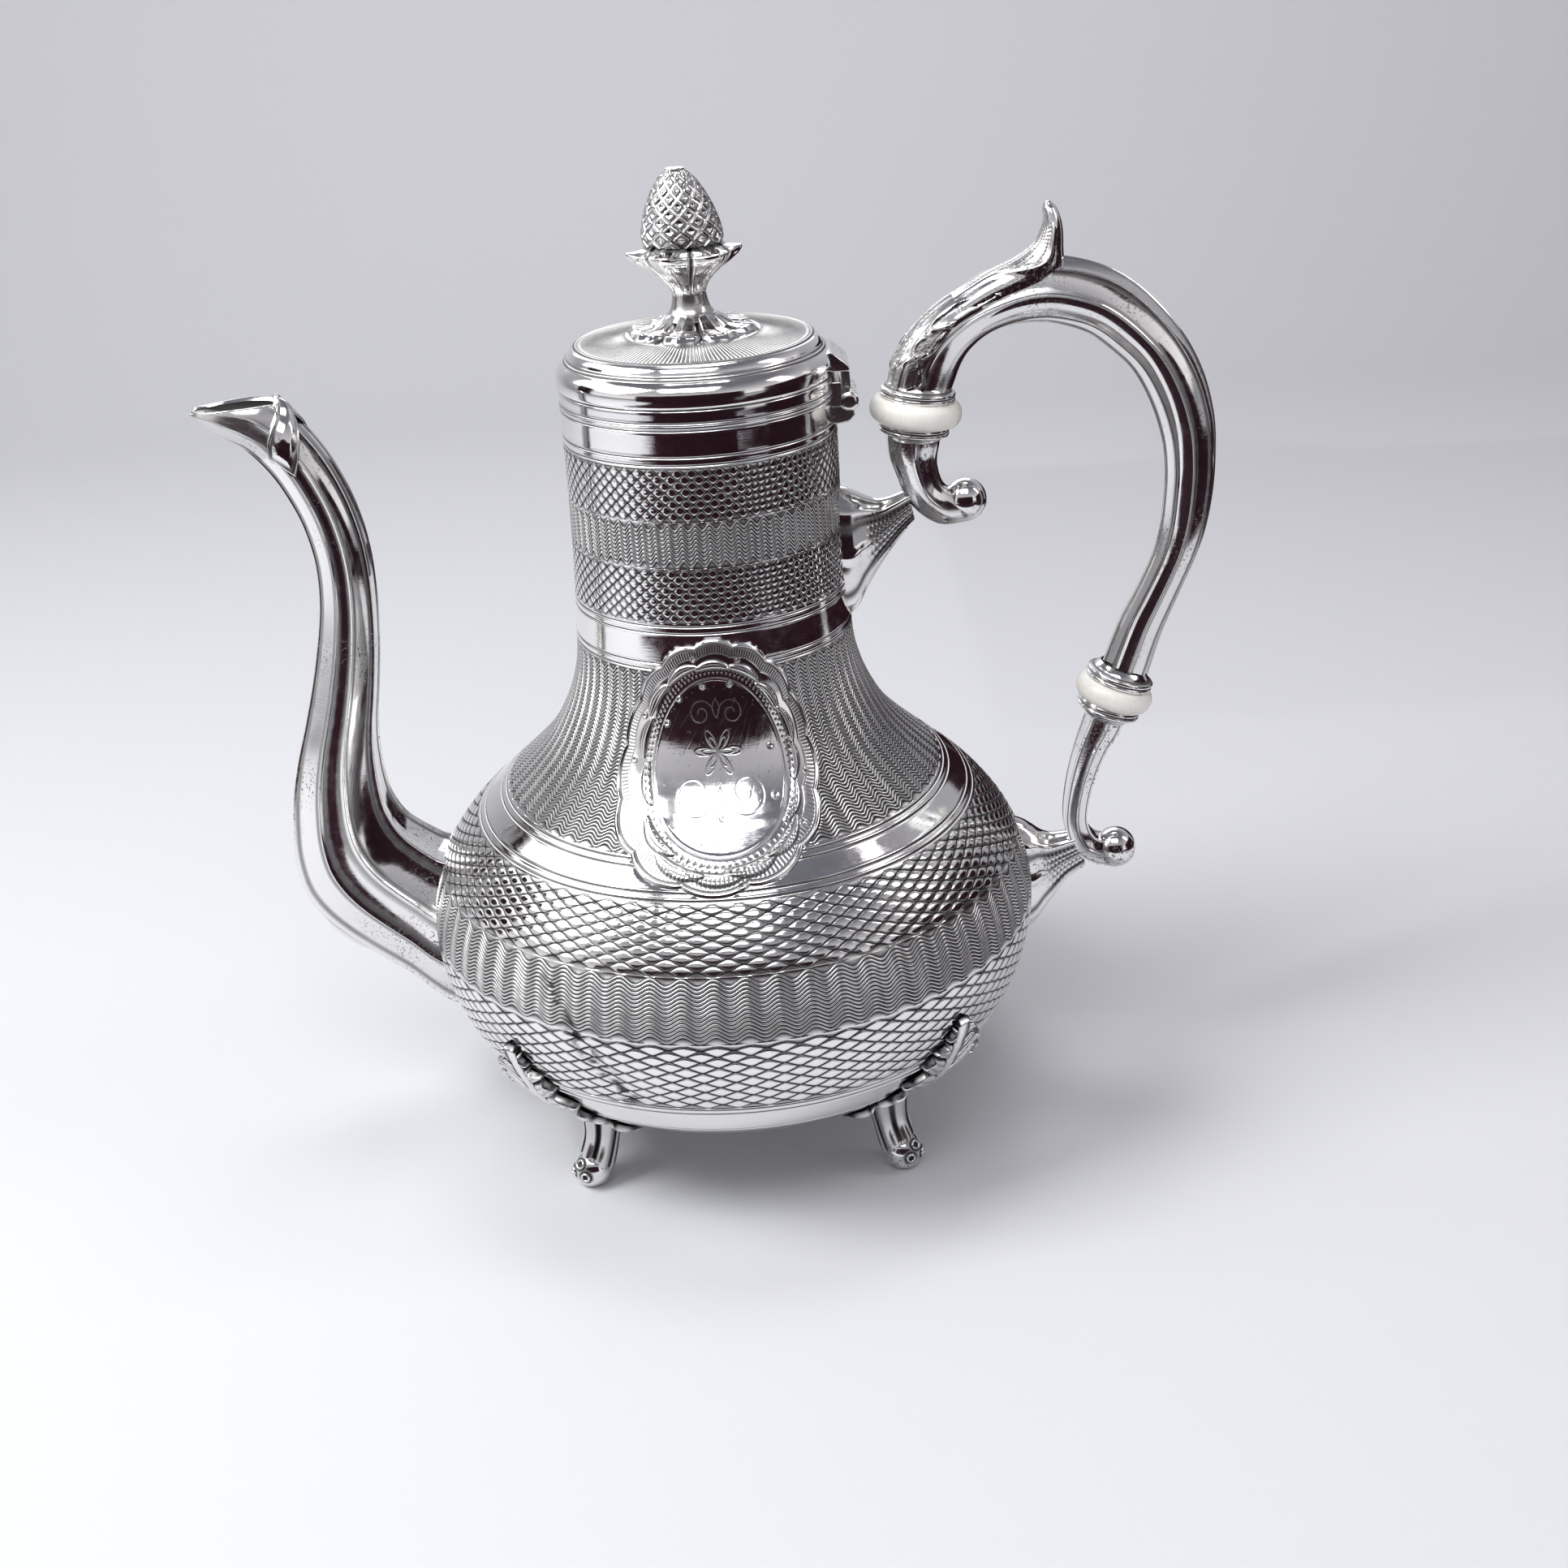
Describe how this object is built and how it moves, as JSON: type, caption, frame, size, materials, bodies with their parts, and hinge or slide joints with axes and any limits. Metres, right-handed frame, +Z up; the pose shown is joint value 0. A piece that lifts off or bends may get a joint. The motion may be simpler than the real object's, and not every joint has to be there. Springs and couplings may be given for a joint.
{
  "type": "silver coffee pot",
  "caption": "Pear-shaped footed silver coffee pot with panelled spout, engine-turned bands, hinged cap lid with cone finial, and scroll handle with white insulating rings.",
  "frame": {"origin": "on the vessel's axis at the level the feet stand on", "axes": "+Z up along the vessel's axis, +X towards the handle, -X towards the spout, -Y towards the engraved front panel"},
  "size_m": [0.246, 0.158, 0.249],
  "materials": {
    "silver_sheet": "engine-turned and polished silver, dark in the cuts",
    "silver_cast": "polished cast silver with darkened recesses",
    "silver_fitting": "polished silver",
    "white_ring": "smooth ivory-white with fine cracks"
  },
  "bodies": {
    "pot": {"vessel": "silver_sheet", "base_plate": "silver_sheet", "spout": "silver_cast", "hinge_neck_leaf": "silver_fitting", "hinge_pin": "silver_fitting", "handle": "silver_cast", "upper_ring": "white_ring", "lower_ring": "white_ring", "upper_stud": "silver_fitting", "lower_stud": "silver_fitting", "upper_socket": "silver_cast", "lower_socket": "silver_cast", "foot_front_left": "silver_cast", "foot_front_right": "silver_cast", "foot_rear_left": "silver_cast", "foot_rear_right": "silver_cast"},
    "lid": {"lid_cap": "silver_sheet", "lid_bezel": "silver_sheet", "petal_rosette": "silver_cast", "finial": "silver_cast", "finial_stud": "silver_fitting", "finial_washer": "silver_fitting", "finial_nut": "silver_fitting", "hinge_lid_leaf": "silver_fitting"}
  },
  "joints": [
    {"name": "lid_hinge", "type": "hinge", "parent": "pot", "child": "lid", "pos_m": [0.0358, 0, 0.1942], "axis": [0, 1, 0], "range_deg": [0, 68]}
  ]
}
